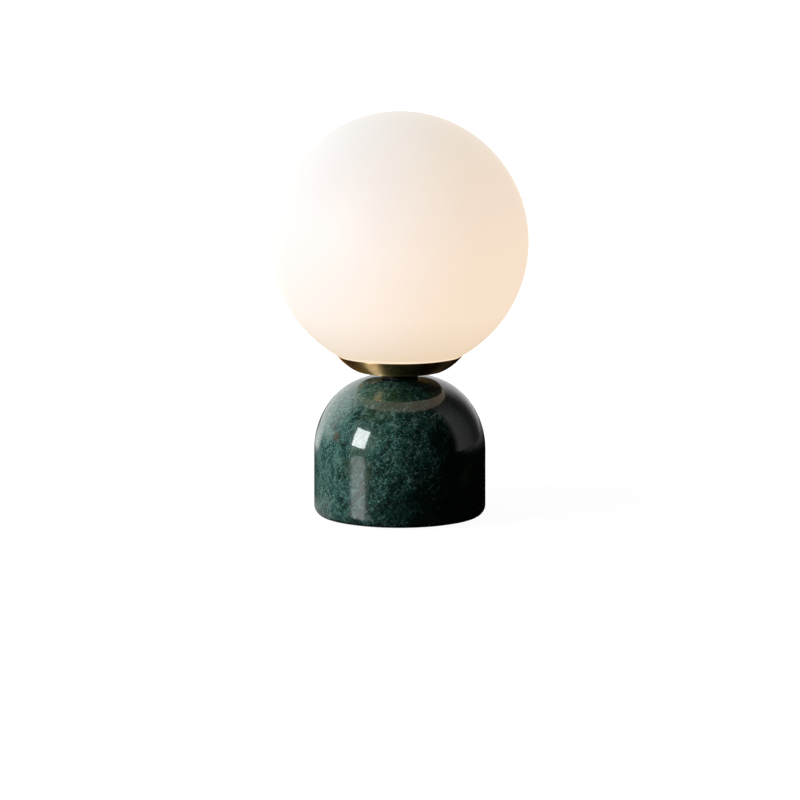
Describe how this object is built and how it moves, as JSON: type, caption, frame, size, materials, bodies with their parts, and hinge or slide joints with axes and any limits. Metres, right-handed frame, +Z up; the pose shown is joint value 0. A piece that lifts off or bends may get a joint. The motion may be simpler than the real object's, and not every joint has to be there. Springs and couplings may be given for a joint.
{
  "type": "glass globe table lamp",
  "caption": "Small table lamp: a satin opal glass globe in a shallow brass cup on a domed, polished dark green marble base.",
  "frame": {"origin": "middle of the resting face under the base pad", "axes": "+Z up along the lamp's axis, the pictured front faces -Y, the cord inlet faces +Y"},
  "size_m": [0.15, 0.15, 0.2378],
  "materials": {
    "marble": "polished dark green marble, veined",
    "aged_brass": "satin aged brass",
    "opal_glass": "satin opal white glass",
    "pad_foam": "matte black foam",
    "black_nylon": "satin black nylon",
    "white_nylon": "natural white nylon",
    "steel": "plain drawn steel",
    "zinc_steel": "bright zinc plated steel",
    "nickel": "nickel plated spring strip",
    "brass_plain": "turned brass",
    "aluminium": "turned aluminium",
    "steatite": "unglazed off-white steatite",
    "bulb_ceramic": "white glazed ceramic",
    "clear_glass": "clear glass",
    "filament": "yellow phosphor coating",
    "silicone": "translucent silicone",
    "fibre": "vulcanised fibre",
    "lead_brown": "brown silicone sleeve",
    "lead_blue": "blue silicone sleeve"
  },
  "bodies": {
    "lamp_stand": {"base_pad": "pad_foam", "marble_base": "marble", "cord_bush": "black_nylon", "tie_rod": "steel", "base_plate": "zinc_steel", "lock_washer": "zinc_steel", "base_nut": "zinc_steel", "earth_washer": "brass_plain", "earth_screw": "brass_plain", "terminal_block": "white_nylon", "terminal_clamps": "brass_plain", "terminal_screws": "zinc_steel", "block_screw": "zinc_steel", "lead_live": "lead_brown", "lead_neutral": "lead_blue", "neck_gasket": "fibre", "neck_collar": "aged_brass", "globe_cup": "aged_brass", "gallery_boss": "aluminium", "holder_bracket": "zinc_steel", "cup_nut": "zinc_steel", "holder_cap": "steatite", "holder_body": "steatite", "holder_contacts": "nickel", "holder_screws": "zinc_steel"},
    "bulb": {"bulb_pins": "nickel", "bulb_base": "bulb_ceramic", "bulb_stem": "steel", "bulb_filaments": "filament", "bulb_capsule": "clear_glass"},
    "seal": {"globe_seal": "silicone"},
    "globe": {"globe_collar": "aluminium", "globe_glass": "opal_glass"}
  },
  "joints": [
    {"name": "bulb_pull", "type": "slide", "parent": "lamp_stand", "child": "bulb", "axis": [0, 0, 1], "range_m": [0, 0.014]},
    {"name": "globe_lift", "type": "slide", "parent": "lamp_stand", "child": "seal", "axis": [0, 0, 1], "range_m": [0, 0.0051]},
    {"name": "globe_turn", "type": "hinge", "parent": "seal", "child": "globe", "pos_m": [0, 0, 0.0885], "axis": [0, 0, 1], "range_deg": [0, 520]}
  ],
  "couplings": [
    {"joint": "globe_lift", "follows": "globe_turn", "m_per_rad": 0.00055704}
  ]
}
